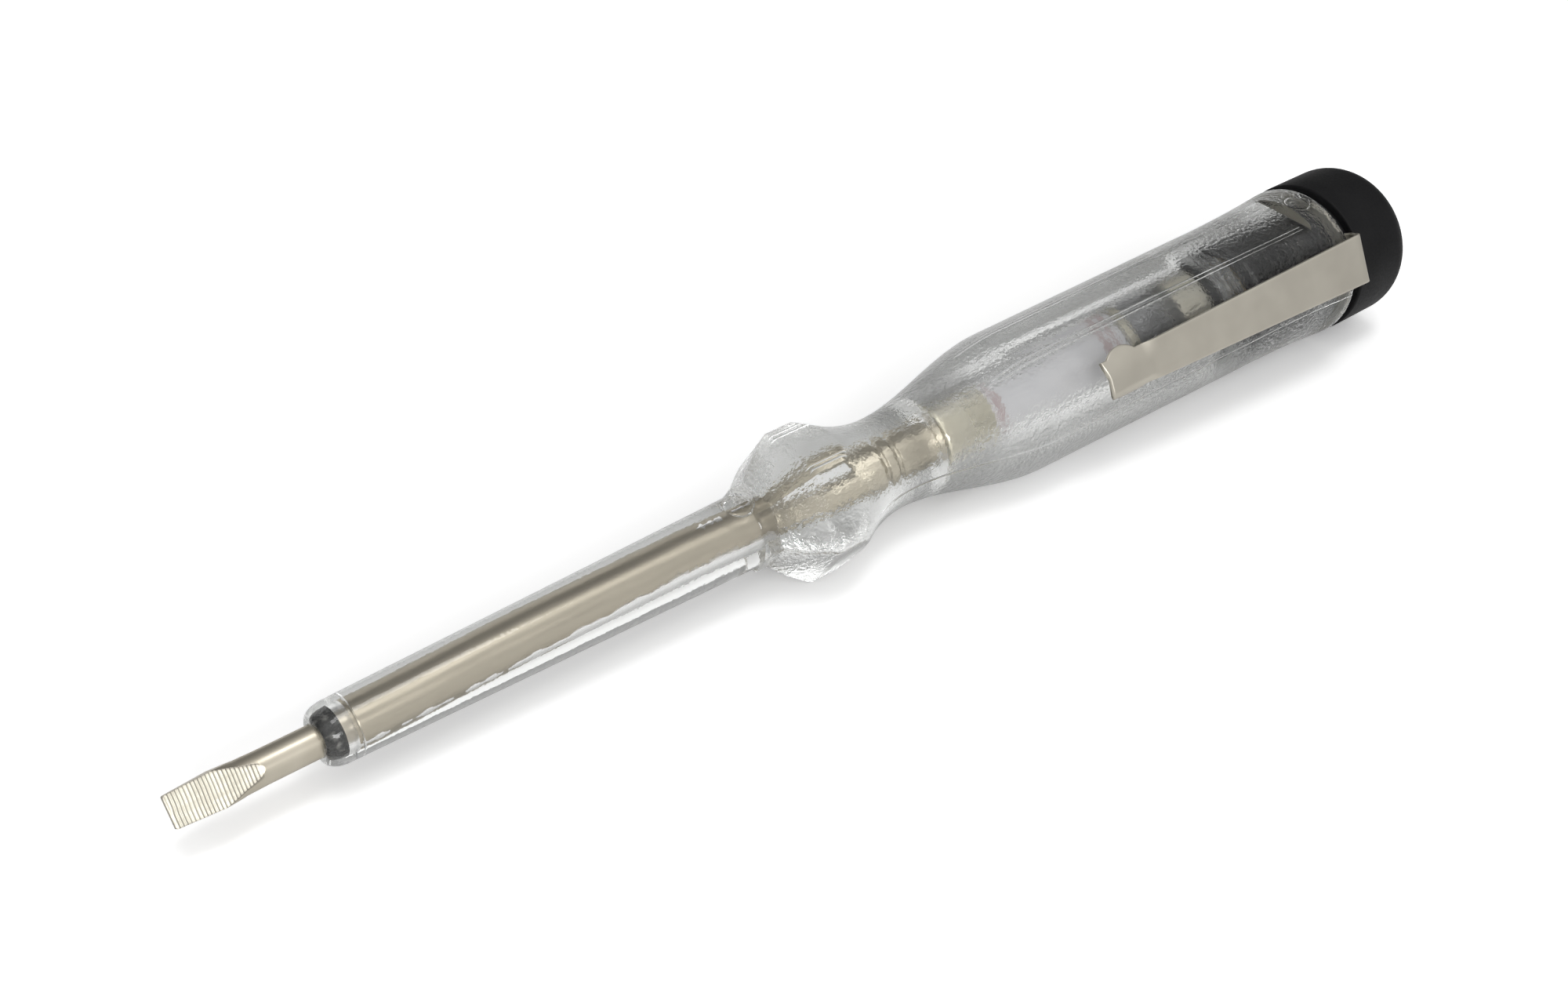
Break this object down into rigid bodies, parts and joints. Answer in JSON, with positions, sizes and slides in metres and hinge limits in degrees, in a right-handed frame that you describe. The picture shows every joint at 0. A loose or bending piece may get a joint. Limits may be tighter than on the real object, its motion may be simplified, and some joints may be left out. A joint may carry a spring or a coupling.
{
  "type": "voltage tester screwdriver",
  "caption": "Slim flat-blade screwdriver with a clear handle, six-sided guard, glow lamp and resistor inside, pocket clip and black screw cap.",
  "frame": {"origin": "middle of the blade's end face", "axes": "+X runs along the tool from the blade's tip to the end cap; +Z is the side with the flat panel, upwards when the tool lies on its guard and cap"},
  "size_m": [0.14, 0.0183, 0.0166],
  "materials": {
    "clear_moulding": "clear, polished, fine ripples",
    "nickel_steel": "satin nickel plate over ground steel",
    "contact_nickel": "dull nickel plate",
    "resistor_body": "pale lacquer with dark red bands",
    "lead_wire": "copper clad wire",
    "electrode_metal": "dark coated metal",
    "lamp_glass": "clear glass",
    "solder": "dull solder",
    "black_rubber": "matt",
    "spring_wire": "bright drawn wire",
    "stud_brass": "turned brass",
    "clip_nickel": "satin nickel plate",
    "black_moulding": "satin black moulding"
  },
  "bodies": {
    "tool": {"handle": "clear_moulding", "blade": "nickel_steel", "resistor_front_cap": "contact_nickel", "resistor_rod": "resistor_body", "resistor_rear_cap": "contact_nickel", "lamp_front_contact": "contact_nickel", "lamp_front_lead": "lead_wire", "lamp_front_electrode": "electrode_metal", "lamp_glass": "lamp_glass", "lamp_rear_electrode": "electrode_metal", "lamp_rear_lead": "lead_wire", "lamp_rear_cap": "contact_nickel", "lamp_solder": "solder", "insulating_ring": "black_rubber", "contact_spring": "spring_wire"},
    "clip_mount": {"clip_collar": "clip_nickel"},
    "clip_spring": {"clip_arm": "clip_nickel"},
    "cap": {"end_cap": "black_moulding", "contact_stud": "stud_brass", "touch_plate": "clip_nickel"}
  },
  "joints": [
    {"name": "cap_slide", "type": "slide", "parent": "tool", "child": "clip_mount", "axis": [1, 0, 0], "range_m": [0, 0.01125]},
    {"name": "cap_turn", "type": "hinge", "parent": "clip_mount", "child": "cap", "pos_m": [0.13, 0, 0], "axis": [1, 0, 0], "range_deg": [0, 3240]},
    {"name": "clip_flex", "type": "hinge", "parent": "clip_mount", "child": "clip_spring", "pos_m": [0.1301, -0.00792, 0.00458], "axis": [0, 0.5, 0.866], "range_deg": [0, 5], "stiffness_Nm_per_rad": 0.3}
  ],
  "couplings": [
    {"joint": "cap_slide", "follows": "cap_turn", "m_per_rad": 0.00019894}
  ]
}
